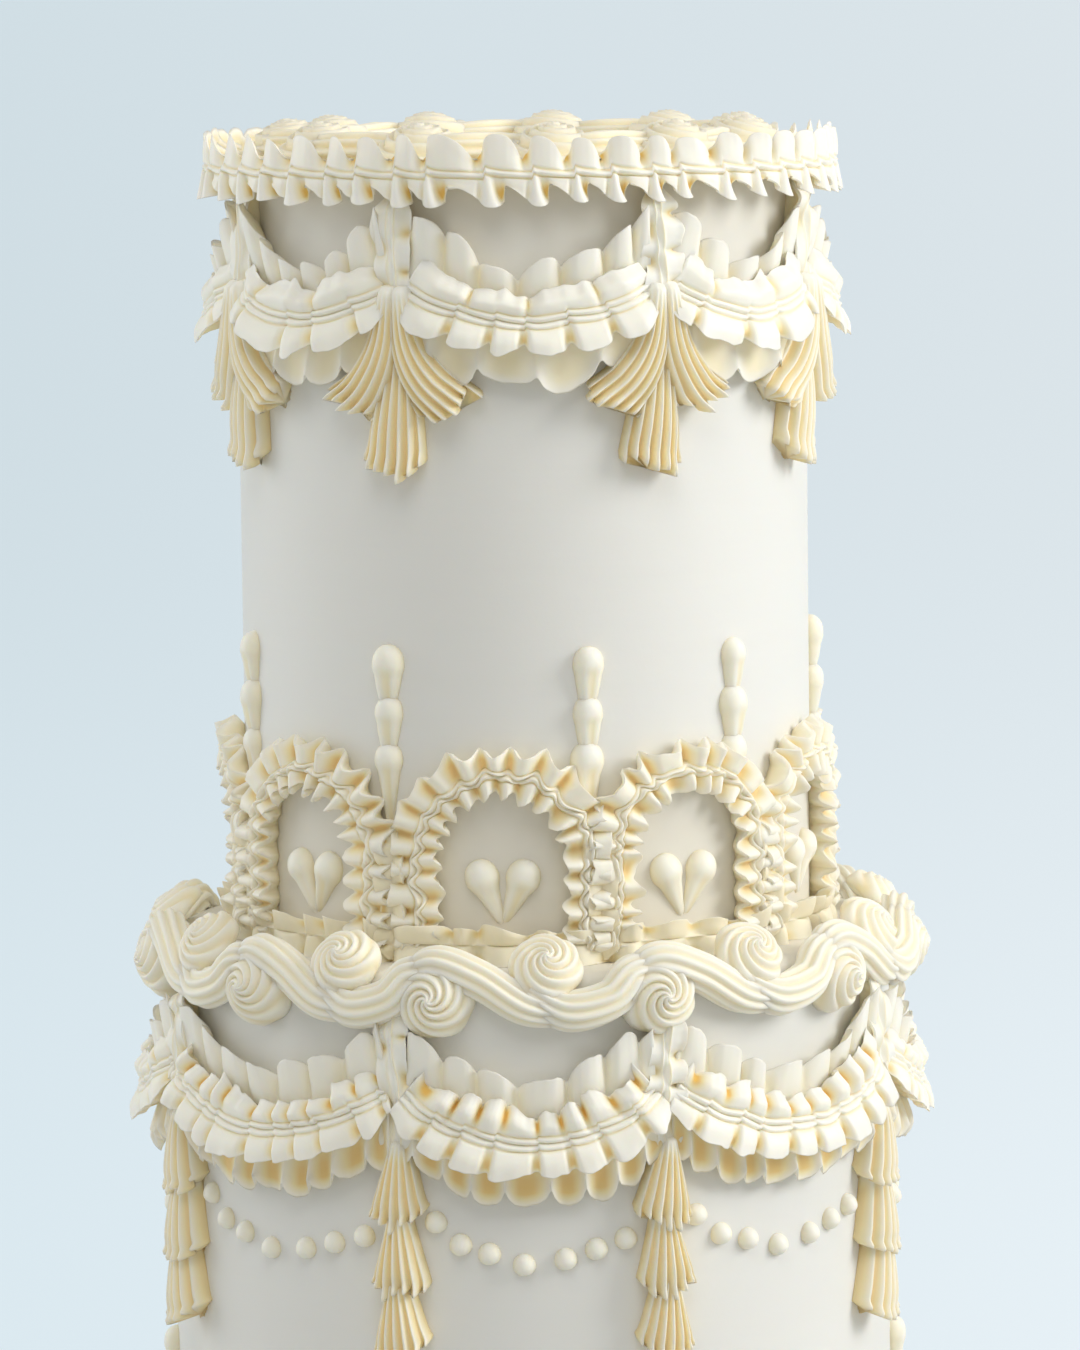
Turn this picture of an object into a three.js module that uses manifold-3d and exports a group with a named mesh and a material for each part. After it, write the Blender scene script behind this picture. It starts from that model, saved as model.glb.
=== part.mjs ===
// A tall iced cake of two round tiers, decorated with piped ruffles, swags, tassels, arches and scrolls.
// Millimetres, +Z up; the origin is the middle of the underside, and the front of the cake faces -Y.
// Angles are in degrees round the cake, from the front towards +X.
import * as THREE from 'three';
import { mergeVertices } from 'three/addons/utils/BufferGeometryUtils.js';
import Module from 'manifold-3d';

const wasm = await Module();
wasm.setup();

const gap = 0.3; // between pieces that touch
const bite = 1.2; // how deep a small piped shape sinks into the icing that it is fused to
const facets = 48; // sides of a tier

const lowerTier = { radius: 102, bottom: 0, top: 200 - gap, edge: 3 };
const upperTier = { radius: 80, bottom: 200, top: 415, edge: 3 };
const wallFace = lowerTier.radius + gap;
const shelf = lowerTier.top + gap;

// The frilled border over the top edge; its places are radius and height.
const topBorder = {
  pleats: 54, inner: 74.5, petal: [86, 422.5], vein: [88.5, 415], cup: [87.5, 408.5], fall: 410.5,
};

// Scrolled rings, on top, on the ledge between the tiers and round the foot, repeat from crest to crest.
// Pairs of values are between crests and at a crest.
const topScroll = { count: 11, first: 8, perUnit: 4, radius: 63.5, half: [5, 9.6], rise: [6, 12] };
const ledge = {
  count: 11, crests: [-45, -14.2, 19.3, 53.1], perUnit: 4, lap: [1.5, 6], thick: 6.2, radius: [107.3, 103.7],
  height: [191.5, 200.5], rosette: { size: 9.3, rise: 9.5 }, lowRosette: 194, highRosette: 99.8,
};
const foot = { count: 11, perUnit: 4, thick: [6, 8], radius: [106.5, 107.5], height: [7, 9] };
const footRibbon = { folds: 22, inner: 80.3, outer: 87, wave: 2.2, thick: 2.2, top: 209.6 };

// Swags hang between pillars. Heights are at mid swag and at its ends; reaches are outside the wall.
const pillars = { upper: [-65, -22, 26.5, 67], lower: [-66, -20, 20, 65], count: 8, clear: 5.4 };
const swagShape = { stations: 7, half: 7.5, lobe: 14, apron: 5.2, frill: 10.8, vein: 9.2, flutter: 1.3 };
const upperSwag = { top: [389, 402], vein: [375, 383], bottom: [357, 369] };
const lowerSwag = { top: [171, 182], vein: [155, 169], bottom: [138.6, 149] };

// Tassels: rows of [height, half width, reach] down the pillar, and the side plumes of the upper ones.
const upperTassel = {
  spine: [[402, 2.5, 4], [384, 4, 9.5], [364, 4.4, 11], [344, 7, 11], [330, 2.6, 5]],
  plumeHead: [3.6, 362.5],
  plumeTip: [15.6, 348],
  plume: [[0, 2.6, 9.5], [0.72, 6.4, 9], [1, 3, 4.5]],
};
const lowerTassel = {
  spine: [
    [182, 2.5, 5], [164, 4, 9.5], [151, 4.6, 8.5], [146, 8.2, 10], [132.5, 4.6, 6.5], [128, 8.2, 10],
    [115, 4.6, 6.5], [110, 7.6, 9.6], [95, 2, 3],
  ],
};

// Arches stand in a row round each tier, a heart in each and a column of drops over each gap.
const arch = { vein: 22.3, crown: 52, outer: 6.8, inner: 4.8, reach: 7, flutter: 1.2 };
const upperArch = { centres: [-47, -5, 32, 70], count: 9, floor: 200, leg: 10, stations: 15 };
const lowerArch = { count: 11, floor: 0, leg: 18.5, stations: 12 };
const drops = { heads: [86, 72.5, 60], length: 13, last: 19, half: 4.9, reach: 4.2 };
const dropColumns = { upper: [-71, -28, 12, 45, 90], lower: [-84, -50.2, -16.4, 17.4, 51.2, 85] };
const dropMarks = [[0, 0.5, 0.5], [0.3, 1, 1], [1, 0.2, 0.25]];
const heart = { spread: 6.4, top: 24.5, tip: 12, half: 4.1, reach: 3.6 };
const beads = {
  radius: 3.6, span: 40, places: [-13, -9.8, -5.9, -1.2, 4.4, 8.8, 12.8],
  heights: [132, 126, 123.6, 120.6, 122, 124.5, 127],
};

const icing = new THREE.Color('#f4f3ef');
const piping = new THREE.Color('#f3eddb');

function material(color, roughness) {
  return new THREE.MeshStandardMaterial({ color, roughness, metalness: 0 });
}

// The angles that are known, and the others that share the rest of the round evenly.
function roundOf(known, count) {
  const rest = count - known.length;
  const last = known[known.length - 1];
  const step = (known[0] + 360 - last) / (rest + 1);
  const added = Array.from({ length: rest }, (_, i) => last + step * (i + 1));
  return [...known, ...added];
}

function middles(angles) {
  return angles.map((angle, i) => (angle + (angles[i + 1] ?? angles[0] + 360)) / 2);
}

// A point s along a round wall and d outside it, at height z.
function onWall(radius, s, d, z) {
  const angle = s / radius;
  return new THREE.Vector3((radius + d) * Math.sin(angle), -(radius + d) * Math.cos(angle), z);
}

function onRound(turn, radius, z) {
  return new THREE.Vector3(radius * Math.sin(turn), -radius * Math.cos(turn), z);
}

function arc(radius, degrees) {
  return radius * THREE.MathUtils.degToRad(degrees);
}

function volumeOf(positions, index) {
  const corners = [new THREE.Vector3(), new THREE.Vector3(), new THREE.Vector3()];
  let volume = 0;
  for (let i = 0; i < index.length; i += 3) {
    corners.forEach((corner, k) => corner.fromArray(positions, index[i + k] * 3));
    volume += corners[0].dot(corners[1].cross(corners[2])) / 6;
  }
  return volume;
}

// A closed skin over rings of points: a loop joins its last ring to its first, an open row gets caps.
function skin(rings, loop = false) {
  const size = rings[0].length;
  const points = rings.flat();
  const index = [];
  const spans = loop ? rings.length : rings.length - 1;
  for (let i = 0; i < spans; i++) {
    const here = i * size;
    const next = ((i + 1) % rings.length) * size;
    for (let j = 0; j < size; j++) {
      const k = (j + 1) % size;
      index.push(here + j, next + j, next + k, here + j, next + k, here + k);
    }
  }
  if (!loop) {
    const last = points.length - size;
    for (let j = 1; j < size - 1; j++) index.push(0, j, j + 1, last, last + j + 1, last + j);
  }
  const positions = points.flatMap((p) => p.toArray());
  if (volumeOf(positions, index) < 0) index.reverse();
  const geometry = new THREE.BufferGeometry();
  geometry.setAttribute('position', new THREE.Float32BufferAttribute(positions, 3));
  geometry.setIndex(index);
  return geometry;
}

function solid(geometry) {
  const bare = geometry.clone();
  bare.deleteAttribute('normal');
  bare.deleteAttribute('uv');
  const merged = mergeVertices(bare, 1e-4);
  const corners = merged.index.array;
  const triVerts = [];
  for (let i = 0; i < corners.length; i += 3) {
    const [a, b, c] = corners.slice(i, i + 3);
    if (a !== b && b !== c && c !== a) triVerts.push(a, b, c);
  }
  const vertProperties = merged.attributes.position.array;
  const mesh = new wasm.Mesh({ numProp: 3, vertProperties, triVerts: new Uint32Array(triVerts) });
  return new wasm.Manifold(mesh);
}

function geometryOf(body) {
  const mesh = body.getMesh();
  const geometry = new THREE.BufferGeometry();
  geometry.setAttribute('position', new THREE.BufferAttribute(mesh.vertProperties, 3));
  geometry.setIndex(new THREE.BufferAttribute(mesh.triVerts, 1));
  return geometry;
}

function joined(geometries) {
  return geometries.map(solid).reduce((whole, next) => whole.add(next));
}

// A tier stands on its flat bottom and has a rounded top edge.
function tier({ radius, bottom, top, edge }) {
  const profile = new THREE.Path();
  profile.moveTo(0, bottom);
  profile.lineTo(radius, bottom);
  profile.lineTo(radius, top - edge);
  profile.absarc(radius - edge, top - edge, edge, 0, Math.PI / 2);
  profile.lineTo(0, top);
  const lathe = new THREE.LatheGeometry(profile.getPoints(1), facets);
  return lathe.rotateX(Math.PI / 2);
}

// Sections across a piped stroke: how far to the side, in half widths, and how far out.
const ridged = [[-0.8, 0], [-1, 0.45], [0, 1], [1, 0.45], [0.8, 0]];
const rounded = [[-1, 0], [-0.5, 1], [0.5, 1], [1, 0]];
const keeled = [[-1, 0], [0, 1], [1, 0]];

// A piped stroke along a wall from its head to its tip; marks are [place along it, half width, reach].
function stroke(radius, head, tip, marks, depth, section = ridged) {
  const along = tip.clone().sub(head);
  const side = new THREE.Vector2(-along.y, along.x).normalize();
  const rings = marks.map(([place, half, reach]) => {
    const centre = head.clone().addScaledVector(along, place);
    const flat = depth + half ** 2 / (2 * radius); // the flat back clears the round wall
    return section.map(([across, out]) => {
      const at = centre.clone().addScaledVector(side, across * half);
      return onWall(radius, at.x, THREE.MathUtils.lerp(flat, reach, out), at.y);
    });
  });
  return skin(rings);
}

function spineStroke(radius, s, rows, section) {
  const top = rows[0][0];
  const bottom = rows.at(-1)[0];
  const marks = rows.map(([z, half, reach]) => [(top - z) / (top - bottom), half, reach]);
  return stroke(radius, new THREE.Vector2(s, top), new THREE.Vector2(s, bottom), marks, gap, section);
}

function drop(radius, s, top, length) {
  const marks = dropMarks.map(([place, half, reach]) => [place, half * drops.half, reach * drops.reach]);
  const head = new THREE.Vector2(s, top);
  return stroke(radius, head, new THREE.Vector2(s, top - length), marks, -bite, keeled);
}

function heartLobes(radius, angle, floor) {
  const s = arc(radius, angle);
  const marks = dropMarks.map(([place, half, reach]) => [place, half * heart.half, reach * heart.reach]);
  const tip = new THREE.Vector2(s, floor + heart.tip);
  return [-1, 1].map((side) => {
    const head = new THREE.Vector2(s + side * heart.spread, floor + heart.top);
    return stroke(radius, head, tip, marks, -bite, keeled);
  });
}

// A bead is a facet point out from the wall, sunk in it to its widest.
function bead(radius, s, z) {
  const point = new THREE.OctahedronGeometry(beads.radius, 0);
  return point.translate(0, -radius + beads.radius * 0.06, z).rotateZ(s / radius);
}

// How high above its floor the outside of an arch stands at a distance from its middle.
function archShoulder(distance) {
  const outer = arch.vein + arch.outer;
  return distance < outer ? arch.crown - arch.vein + Math.sqrt(outer ** 2 - distance ** 2) : 0;
}

function dropColumn(radius, angle, floor, archAngles) {
  const s = arc(radius, angle);
  const gaps = archAngles.map((centre) => Math.abs(((centre - angle + 540) % 360) - 180));
  const shoulder = archShoulder(arc(radius, Math.min(...gaps)));
  return drops.heads.map((head, i) => {
    const longest = head - shoulder - 2;
    const length = Math.min(i < 2 ? drops.length : drops.last, longest);
    return drop(radius, s, floor + head, length);
  });
}

function swagBeads(from, to) {
  const middle = (from + to) / 2;
  const spread = (to - from) / beads.span;
  const { radius } = lowerTier;
  return beads.places.map((place, i) => bead(radius, arc(radius, middle + place * spread), beads.heights[i]));
}

// A wide under-frill with a fluted, veined frill along its middle, hung between two pillars.
function swag(radius, from, to, heights) {
  const start = arc(radius, from) + pillars.clear;
  const span = arc(radius, to) - pillars.clear - start;
  const rings = [];
  for (let i = 0; i <= swagShape.stations; i++) {
    const place = i / swagShape.stations;
    const s = start + span * place;
    const lift = (2 * place - 1) ** 2;
    const at = ([middle, end]) => THREE.MathUtils.lerp(middle, end, lift);
    const pleat = (i % 2 ? 1 : -1) * swagShape.flutter;
    const lobe = Math.sin((Math.PI * 2 * s) / swagShape.lobe) * swagShape.flutter;
    const outline = [
      [at(heights.top) - 1, gap],
      [at(heights.top) + lobe, swagShape.apron - lobe],
      [at(heights.vein) + swagShape.half + pleat, swagShape.frill + pleat],
      [at(heights.vein), swagShape.vein],
      [at(heights.vein) - swagShape.half + pleat, swagShape.frill - pleat],
      [at(heights.bottom) - lobe, swagShape.apron + 1 + lobe],
      [at(heights.bottom) + 1.5, gap],
    ];
    rings.push(outline.map(([z, d]) => onWall(radius, s, d, z)));
  }
  return skin(rings);
}

function upperTasselAt(angle) {
  const { radius } = upperTier;
  const s = arc(radius, angle);
  const plumes = [-1, 1].map((side) => {
    const head = new THREE.Vector2(s + side * upperTassel.plumeHead[0], upperTassel.plumeHead[1]);
    const tip = new THREE.Vector2(s + side * upperTassel.plumeTip[0], upperTassel.plumeTip[1]);
    return stroke(radius, head, tip, upperTassel.plume, gap, rounded);
  });
  return geometryOf(joined([spineStroke(radius, s, upperTassel.spine), ...plumes]));
}

function lowerTasselAt(angle) {
  return spineStroke(lowerTier.radius, arc(lowerTier.radius, angle), lowerTassel.spine, rounded);
}

// A frill piped up one leg, over a round crown and down the other; it stops short of its neighbours.
function archAt(radius, centre, before, after, { floor, leg, stations }) {
  const straight = arch.crown - arch.vein - leg;
  const crown = Math.PI * arch.vein;
  const whole = 2 * straight + crown;
  const limits = [arc(radius, (before - centre) / 2) + gap, arc(radius, (after - centre) / 2) - gap];
  const middle = arc(radius, centre);
  const rings = [];
  for (let i = 0; i <= stations; i++) {
    const run = (whole * i) / stations;
    const turn = THREE.MathUtils.clamp((run - straight) / arch.vein, 0, Math.PI);
    const climb = Math.min(run, straight) - Math.max(run - straight - crown, 0);
    const outward = new THREE.Vector2(-Math.cos(turn), Math.sin(turn));
    const vein = new THREE.Vector2(0, floor + leg + climb).addScaledVector(outward, arch.vein);
    const pleat = (i % 2 ? 1 : -1) * arch.flutter;
    const outline = [
      [-arch.inner + 1, gap],
      [-arch.inner - pleat, arch.reach - pleat],
      [arch.outer - pleat, arch.reach + pleat],
      [arch.outer - 1.5, gap],
    ];
    rings.push(outline.map(([across, d]) => {
      const at = vein.clone().addScaledVector(outward, across);
      return onWall(radius, middle + THREE.MathUtils.clamp(at.x, ...limits), d, Math.max(at.y, floor + leg));
    }));
  }
  return skin(rings);
}

// The border's frills stand up over the top and hang down over the wall, either side of a raised vein.
function borderRing() {
  const { pleats, inner, petal, vein, cup, fall } = topBorder;
  const { radius, top } = upperTier;
  const rings = [];
  for (let i = 0; i < pleats * 2; i++) {
    const angle = (Math.PI * i) / pleats;
    const pleat = i % 2 ? 1 : -1;
    const outline = [
      [inner, top + gap],
      [petal[0] + pleat * 1.3, petal[1] + pleat * 1.8],
      vein,
      [cup[0] - pleat * 1.3, cup[1] + pleat * 1.8],
      [radius + gap, fall],
      [radius + gap, top + gap],
    ];
    rings.push(outline.map(([r, z]) => onRound(angle, r, z)));
  }
  return skin(rings, true);
}

function ribbonRing() {
  const { folds, inner, outer, wave, thick, top } = footRibbon;
  const bottom = upperTier.bottom + gap;
  const rings = [];
  for (let i = 0; i < folds * 2; i++) {
    const angle = (Math.PI * i) / folds;
    const edge = outer + (i % 2 ? wave : -wave) / 2;
    const outline = [[inner, bottom], [outer, bottom], [edge + wave / 2, top], [edge - thick, top]];
    rings.push(outline.map(([r, z]) => onRound(angle, r, z)));
  }
  return skin(rings, true);
}

// A fluted swirl whose side turns as it rises; it faces outwards from a wall or, laid flat, up.
function rosette(angle, radius, height, { size, rise }, flat) {
  const levels = [[1, 0, 0], [0.45, 1, 0.8]];
  const sides = 5;
  const rings = levels.map(([wide, up, twist]) => Array.from({ length: sides }, (_, i) => {
    const around = (Math.PI * 2 * i) / sides + twist;
    return new THREE.Vector3(Math.cos(around) * size * wide, Math.sin(around) * size * wide, up * rise);
  }));
  const geometry = skin(rings);
  if (!flat) geometry.rotateX(Math.PI / 2);
  return geometry.translate(0, -radius, height).rotateZ(THREE.MathUtils.degToRad(angle));
}

// A ring whose outline, worked out for a wave that is 1 at each crest and -1 between, repeats round the cake.
function waveRing(crests, perUnit, outlineAt) {
  const rings = crests.flatMap((crest, unit) => {
    const next = crests[unit + 1] ?? crests[0] + 360;
    return Array.from({ length: perUnit }, (_, i) => {
      const turn = THREE.MathUtils.degToRad(THREE.MathUtils.lerp(crest, next, i / perUnit));
      const wave = Math.cos((Math.PI * 2 * i) / perUnit);
      return outlineAt(wave).map(([r, z]) => onRound(turn, r, z));
    });
  });
  return skin(rings, true);
}

// Points round the outside of a rope, from its top to under its front.
function ropeOutline(radius, height, thick) {
  return [118, 58, 8, -42].map((degrees) => {
    const side = THREE.MathUtils.degToRad(degrees);
    return [radius + thick * Math.cos(side), height + thick * Math.sin(side)];
  });
}

function between([trough, crest], wave) {
  return THREE.MathUtils.mapLinear(wave, -1, 1, trough, crest);
}

// The ledge's rope laps the corner of the tier, further in over a crest.
function ledgeOutline(wave) {
  const height = between(ledge.height, wave);
  return [
    [wallFace - between(ledge.lap, wave), shelf],
    ...ropeOutline(between(ledge.radius, wave), height, ledge.thick),
    [wallFace, height - ledge.thick],
    [wallFace, shelf],
  ];
}

function footOutline(wave) {
  const [radius, height, thick] = [foot.radius, foot.height, foot.thick].map((pair) => between(pair, wave));
  const rope = ropeOutline(radius, height, thick);
  return [[wallFace, height + thick * 0.8], ...rope, [radius + 2, 0], [wallFace, 0]];
}

function topOutline(wave) {
  const [half, rise] = [topScroll.half, topScroll.rise].map((pair) => between(pair, wave));
  const sides = [[-1, 0], [-0.75, 0.65], [0, 1], [0.75, 0.65], [1, 0]];
  return sides.map(([across, up]) => [topScroll.radius + across * half, upperTier.top + gap + up * rise]);
}

const cake = new THREE.Group();

function addPiece(name, geometry, color, roughness) {
  const mesh = new THREE.Mesh(geometry, material(color, roughness));
  mesh.name = name;
  geometry.computeVertexNormals();
  cake.add(mesh);
}

const upperPillars = roundOf(pillars.upper, pillars.count);
const lowerPillars = roundOf(pillars.lower, pillars.count);
const upperArches = roundOf(upperArch.centres, upperArch.count);
const lowerColumns = roundOf(dropColumns.lower, lowerArch.count);
const lowerArches = middles(lowerColumns);
const upperColumns = roundOf(dropColumns.upper, upperArch.count);

const lowerRelief = [
  ...lowerColumns.flatMap((angle) => dropColumn(lowerTier.radius, angle, lowerArch.floor, lowerArches)),
  ...lowerPillars.flatMap((from, i) => swagBeads(from, lowerPillars[i + 1] ?? lowerPillars[0] + 360)),
];
const upperRelief = [
  ...upperColumns.flatMap((angle) => dropColumn(upperTier.radius, angle, upperArch.floor, upperArches)),
  ...upperArches.flatMap((angle) => heartLobes(upperTier.radius, angle, upperArch.floor)),
];
addPiece('lower_tier', geometryOf(joined([tier(lowerTier), ...lowerRelief])), icing, 0.55);
addPiece('upper_tier', geometryOf(joined([tier(upperTier), ...upperRelief])), icing, 0.55);

addPiece('top_border', borderRing(), piping, 0.5);
addPiece('upper_base_ruffle', ribbonRing(), piping, 0.5);

for (const [level, radius, angles, heights] of [
  ['upper', upperTier.radius, upperPillars, upperSwag],
  ['lower', lowerTier.radius, lowerPillars, lowerSwag],
]) {
  angles.forEach((angle, i) => {
    const next = angles[i + 1] ?? angles[0] + 360;
    addPiece(`${level}_swag_${i + 1}`, swag(radius, angle, next, heights), piping, 0.5);
    const tassel = level === 'upper' ? upperTasselAt(angle) : lowerTasselAt(angle);
    addPiece(`${level}_tassel_${i + 1}`, tassel, piping, 0.5);
  });
}

for (const [level, radius, centres, shape] of [
  ['upper', upperTier.radius, upperArches, upperArch],
  ['lower', lowerTier.radius, lowerArches, lowerArch],
]) {
  centres.forEach((centre, i) => {
    const before = centres[i - 1] ?? centres.at(-1) - 360;
    const after = centres[i + 1] ?? centres[0] + 360;
    addPiece(`${level}_arch_${i + 1}`, archAt(radius, centre, before, after, shape), piping, 0.5);
  });
}

const lowRosettes = roundOf(ledge.crests, ledge.count);
const highRosettes = middles(lowRosettes);
const ledgeScroll = joined([
  waveRing(lowRosettes, ledge.perUnit, ledgeOutline),
  ...lowRosettes.map((angle) => rosette(angle, wallFace, ledge.lowRosette, ledge.rosette, false)),
  ...highRosettes.map((angle) => rosette(angle, ledge.highRosette, shelf, ledge.rosette, true)),
]);
addPiece('ledge_rope', geometryOf(ledgeScroll), piping, 0.5);

const footCrests = roundOf([ledge.crests[0]], foot.count);
addPiece('base_border', waveRing(footCrests, foot.perUnit, footOutline), piping, 0.5);
const topCrests = roundOf([topScroll.first], topScroll.count);
addPiece('top_rosettes', waveRing(topCrests, topScroll.perUnit, topOutline), piping, 0.5);

export default cake;
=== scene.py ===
# A tall iced cake of two round tiers, dressed with piped frills, swags, tassels, arches, hearts,
# drops, beads and scrolled ropes. Lengths are millimetres and angles degrees from the front
# towards +X until a mesh is made.
import math

import bpy
import numpy as np
from mathutils import Matrix, Vector


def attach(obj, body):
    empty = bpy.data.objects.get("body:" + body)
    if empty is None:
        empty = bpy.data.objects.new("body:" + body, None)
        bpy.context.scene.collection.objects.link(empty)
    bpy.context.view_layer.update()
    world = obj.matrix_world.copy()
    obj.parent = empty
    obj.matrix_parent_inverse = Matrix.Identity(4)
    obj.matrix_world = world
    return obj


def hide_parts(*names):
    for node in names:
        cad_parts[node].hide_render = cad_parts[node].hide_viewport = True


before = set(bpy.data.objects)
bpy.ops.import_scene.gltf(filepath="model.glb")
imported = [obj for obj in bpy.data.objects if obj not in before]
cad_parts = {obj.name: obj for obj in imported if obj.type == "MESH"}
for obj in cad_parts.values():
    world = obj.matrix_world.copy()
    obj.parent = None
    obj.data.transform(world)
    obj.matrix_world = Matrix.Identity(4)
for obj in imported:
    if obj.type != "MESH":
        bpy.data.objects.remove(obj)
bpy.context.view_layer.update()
print("frame loaded")

mm = 0.001


# The known angles, and the others that share the rest of the round evenly.
def roundOf(known, count):
    rest = count - len(known)
    step = (known[0] + 360 - known[-1]) / (rest + 1)
    return list(known) + [known[-1] + step * (i + 1) for i in range(rest)]


# Each angle with the next one round.
def pairsOf(angles):
    return list(zip(angles, angles[1:] + [angles[0] + 360]))


def middlesOf(angles):
    return [(a + b) / 2 for a, b in pairsOf(angles)]


cake = {
    "lowerRadius": 102,
    "upperRadius": 80,
    "ledge": 200,
    "top": 415,
    "upperPillars": roundOf([-65, -23.4, 26.5, 67], 8),
    "lowerPillars": roundOf([-66, -20, 20, 65], 8),
    "upperArches": roundOf([-47, -5, 32, 70], 9),
    "upperColumns": roundOf([-71, -28, 12, 45, 90], 9),
    "lowerColumns": roundOf([-84, -50.2, -16.4, 17.4, 51.2, 85], 11),
    "lowRosettes": roundOf([-45, -14.2, 19.3, 53.1], 11),
}
cake["lowerArches"] = middlesOf(cake["lowerColumns"])
cake["highRosettes"] = middlesOf(cake["lowRosettes"])
tiers = (("upper", cake["upperRadius"], cake["ledge"]), ("lower", cake["lowerRadius"], 0))


def arc(radius, angle):
    return radius * math.radians(angle)


# A point s along a round wall and d outside it, at height z.
def onWall(radius, s, d, z):
    turn = s / radius
    reach = radius + d
    return np.stack(np.broadcast_arrays(reach * np.sin(turn), -reach * np.cos(turn), z), axis=-1)


def smooth(x, low=0.0, high=1.0):
    t = np.clip((x - low) / (high - low), 0, 1)
    return t * t * (3 - 2 * t)


def mix(a, b, t):
    return a + (b - a) * t


# A gentle unevenness between -1 and 1 that changes once for each whole step of x.
def uneven(x, seed, period=None):
    low = np.floor(x)
    t = smooth(x - low)

    def chance(i):
        i = i if period is None else np.mod(i, period)
        value = np.sin(i * 12.9898 + seed * 78.233) * 43758.5453
        return (value - np.floor(value)) * 2 - 1

    return mix(chance(low), chance(low + 1), t)


def deselect():
    bpy.ops.object.select_all(action="DESELECT")


# One piped stroke: a grid primitive whose corners are moved to rows of points, with the share of
# painted fold shade that each point takes, highest deep in the folds.
def stroke(points, depth):
    rows, columns = points.shape[:2]
    deselect()
    bpy.ops.mesh.primitive_grid_add(x_subdivisions=columns - 1, y_subdivisions=rows - 1, size=1)
    made = bpy.context.object
    made.data.vertices.foreach_set("co", (points * mm).astype(np.float32).ravel())
    fold = made.data.attributes.new("fold", "FLOAT", "POINT")
    depth = np.broadcast_to(depth, points.shape[:2])
    fold.data.foreach_set("value", np.clip(depth, 0, 1).astype(np.float32).ravel())
    made.data.update()
    return made


def finishPiece(name, strokes, material, slotName, *replaced):
    deselect()
    for part in strokes:
        part.select_set(True)
    piece = strokes[0]
    bpy.context.view_layer.objects.active = piece
    if len(strokes) > 1:
        bpy.ops.object.join()
    bpy.ops.object.mode_set(mode="EDIT")
    bpy.ops.mesh.select_all(action="SELECT")
    bpy.ops.mesh.remove_doubles(threshold=0.000004)
    bpy.ops.mesh.dissolve_degenerate(threshold=0.000002)
    bpy.ops.mesh.normals_make_consistent(inside=False)
    bpy.ops.object.mode_set(mode="OBJECT")
    bpy.ops.object.shade_smooth()
    piece.name = piece.data.name = name.replace(" ", "-")
    piece.data.materials.clear()
    piece.data.materials.append(material)
    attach(piece, "root")
    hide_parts(*replaced)


# A shader value that is added, taken away and multiplied like a number.
class Amount:
    def __init__(self, tree, socket):
        self.tree = tree
        self.socket = socket

    # Any node: its settings first, then the values or links of its sockets.
    def node(self, kind, settings=None, inputs=None, output=0):
        made = self.tree.nodes.new(kind)
        for key, value in (settings or {}).items():
            setattr(made, key, value)
        for key, value in (inputs or {}).items():
            if isinstance(value, Amount):
                self.tree.links.new(value.socket, made.inputs[key])
            else:
                made.inputs[key].default_value = value
        return Amount(self.tree, made.outputs[output])

    def math(self, operation, first, second):
        return self.node("ShaderNodeMath", {"operation": operation}, {0: first, 1: second})

    def __add__(self, other):
        return self.math("ADD", self, other)

    def __radd__(self, other):
        return self.math("ADD", other, self)

    def __sub__(self, other):
        return self.math("SUBTRACT", self, other)

    def __rsub__(self, other):
        return self.math("SUBTRACT", other, self)

    def __mul__(self, other):
        return self.math("MULTIPLY", self, other)

    def __rmul__(self, other):
        return self.math("MULTIPLY", other, self)

    def __truediv__(self, other):
        return self.math("DIVIDE", self, other)

    def __rtruediv__(self, other):
        return self.math("DIVIDE", other, self)


icingLook = {
    "colour": (0.812, 0.814, 0.784, 1),
    "shade": (0.808, 0.806, 0.767, 1),
    # Painted warm shade for the wall near the piping, and the bands of height where it lies.
    "warmShade": (0.790, 0.760, 0.675, 1),
    "warmShadeBands": ((-0.02, 0.0, 0.035, 0.07), (0.19, 0.20, 0.235, 0.262), (0.385, 0.408, 0.43, 0.44)),
    "roughness": 0.55,
    "subsurface": 0.15,
    "scatter": (0.010, 0.007, 0.004),
    "grain": 0.10,
}
pipingLook = {
    "colour": (0.965, 0.935, 0.830, 1),
    # Painted shade: the pale yellow for the folds and the amber for their depths.
    "fold": (0.930, 0.790, 0.480, 1),
    "depth": (0.830, 0.500, 0.120, 1),
    "roughness": 0.48,
    "subsurface": 0.25,
    "scatter": (0.008, 0.0052, 0.0026),
    "grain": 0.05,
}


def newMaterial(name, look, colourOf, bumpOf):
    material = bpy.data.materials.new(name)
    material.use_nodes = True
    tree = material.node_tree
    shader = tree.nodes["Principled BSDF"]
    start = Amount(tree, None)
    colour = colourOf(start, look)
    tree.links.new(colour.socket, shader.inputs["Base Color"])
    height = bumpOf(start, look)
    bump = start.node("ShaderNodeBump", None, {"Strength": 0.5, "Distance": 0.0006, "Height": height})
    tree.links.new(bump.socket, shader.inputs["Normal"])
    shader.inputs["Roughness"].default_value = look["roughness"]
    shader.inputs["Subsurface Weight"].default_value = look["subsurface"]
    shader.inputs["Subsurface Radius"].default_value = [r * 1000 for r in look["scatter"]]
    shader.inputs["Subsurface Scale"].default_value = 0.001
    shader.inputs["IOR"].default_value = 1.4
    return material


def objectPlace(start, stretch):
    place = start.node("ShaderNodeTexCoord", None, None, 3)
    return start.node("ShaderNodeMapping", None, {"Vector": place, "Scale": stretch})


def noise(start, stretch, size, detail):
    place = objectPlace(start, stretch)
    return start.node("ShaderNodeTexNoise", None, {"Vector": place, "Scale": size, "Detail": detail})


def blend(start, share, first, second):
    return start.node("ShaderNodeMix", {"data_type": "RGBA"}, {0: share, 6: first, 7: second}, 2)


# How far a value is on its way from one number to another, from 0 to 1.
def shareOf(start, value, first, last):
    return start.node("ShaderNodeMapRange", None, {"Value": value, "From Min": first, "From Max": last})
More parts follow.
